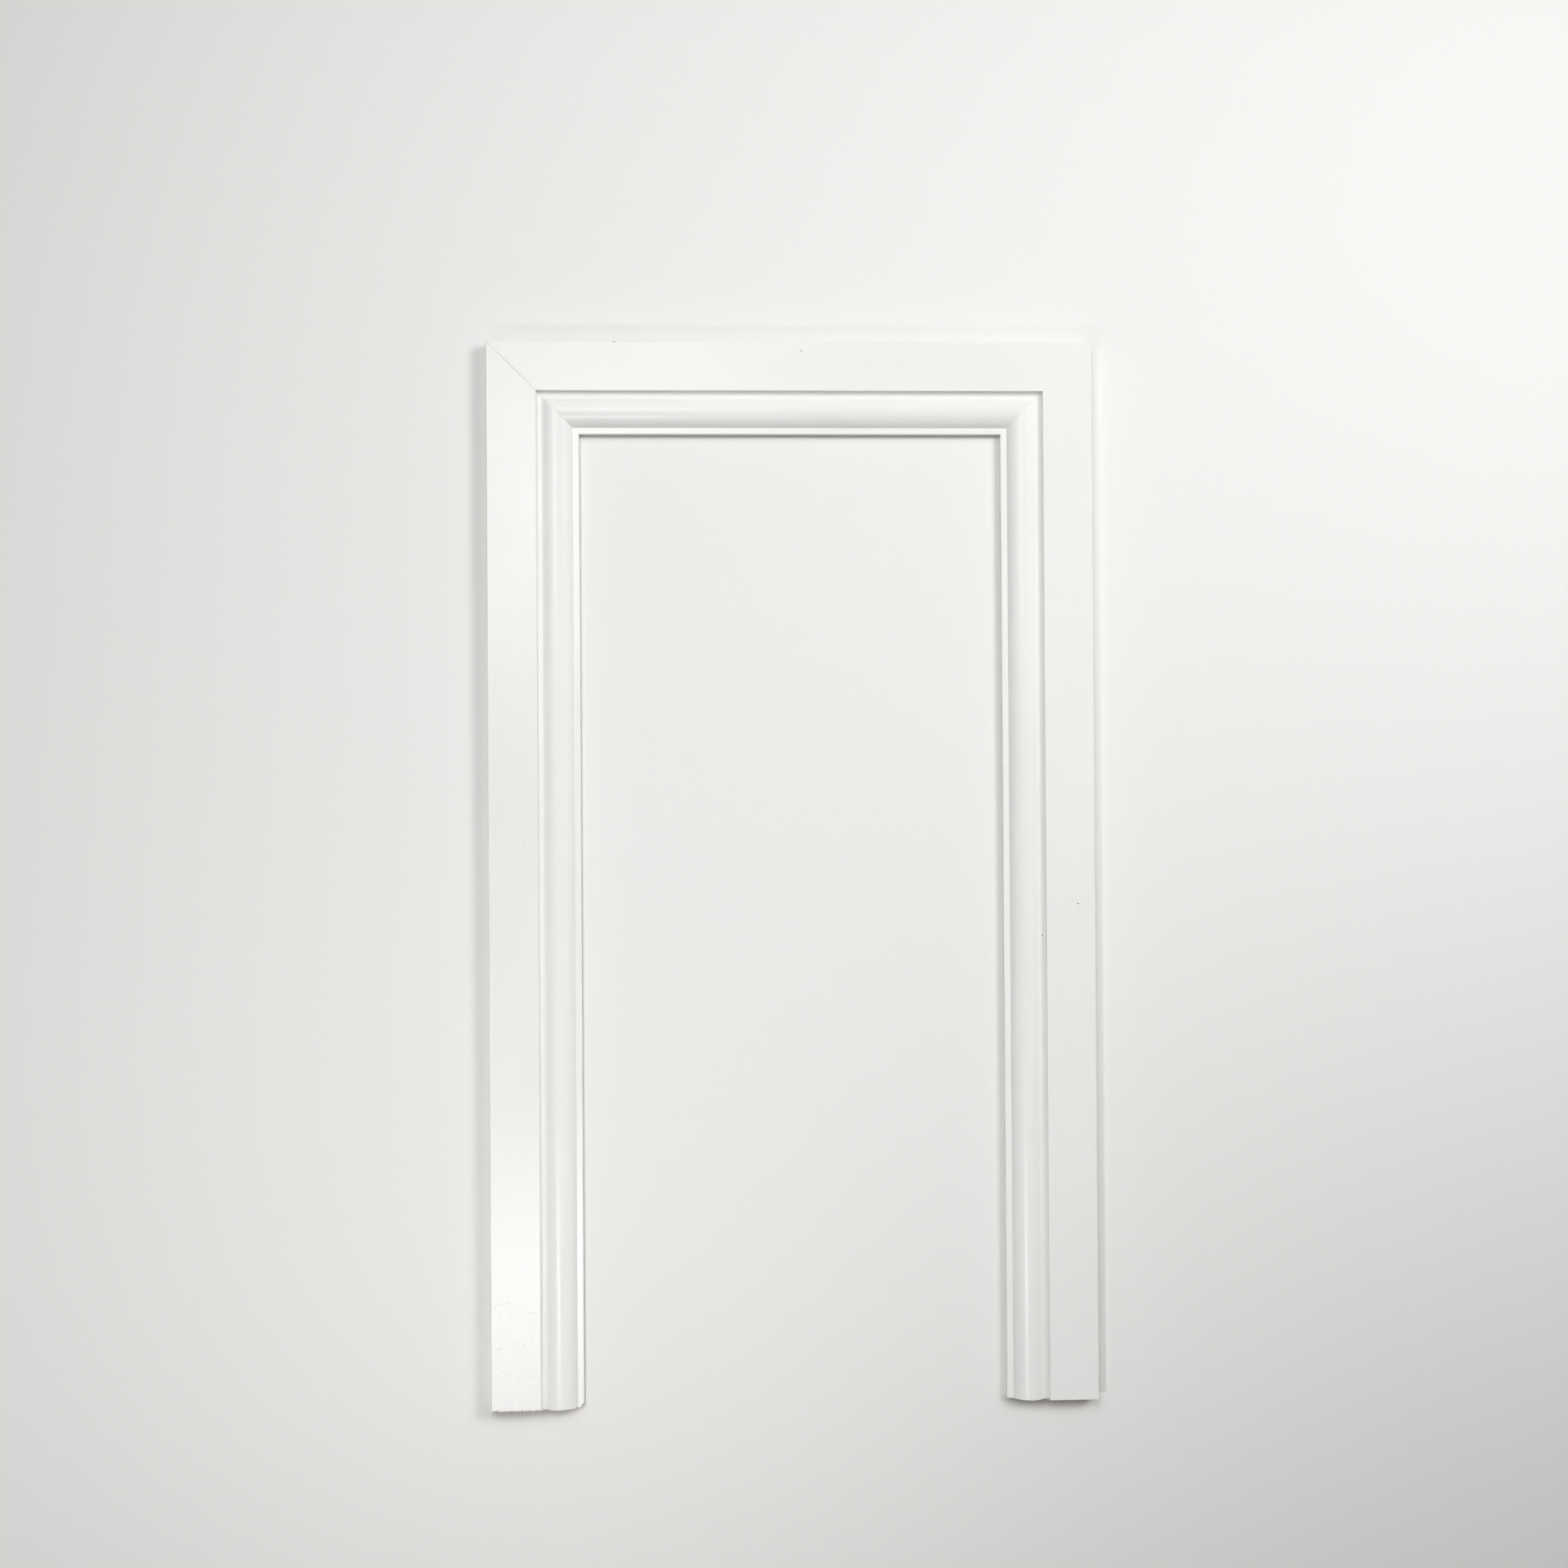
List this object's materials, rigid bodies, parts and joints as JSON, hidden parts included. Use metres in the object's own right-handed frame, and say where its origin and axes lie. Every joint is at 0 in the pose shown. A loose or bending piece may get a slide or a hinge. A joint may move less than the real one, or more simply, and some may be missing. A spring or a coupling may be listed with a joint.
{
  "type": "architrave moulding",
  "caption": "Painted architrave for a door opening: two legs and a head of one section (flat board, cove, torus and sight strip), mitred at the upper corners.",
  "frame": {"origin": "middle of the outline, on the plane of the back faces, which the architrave lies on", "axes": "+X to the right across the opening, +Y up the legs towards the head, +Z out of the moulded face"},
  "size_m": [0.465, 0.814, 0.012],
  "materials": {
    "white_paint": "satin white paint on medium-density fibreboard"
  },
  "bodies": {
    "root": {"left_leg": "white_paint", "head": "white_paint", "right_leg": "white_paint"}
  },
  "joints": []
}
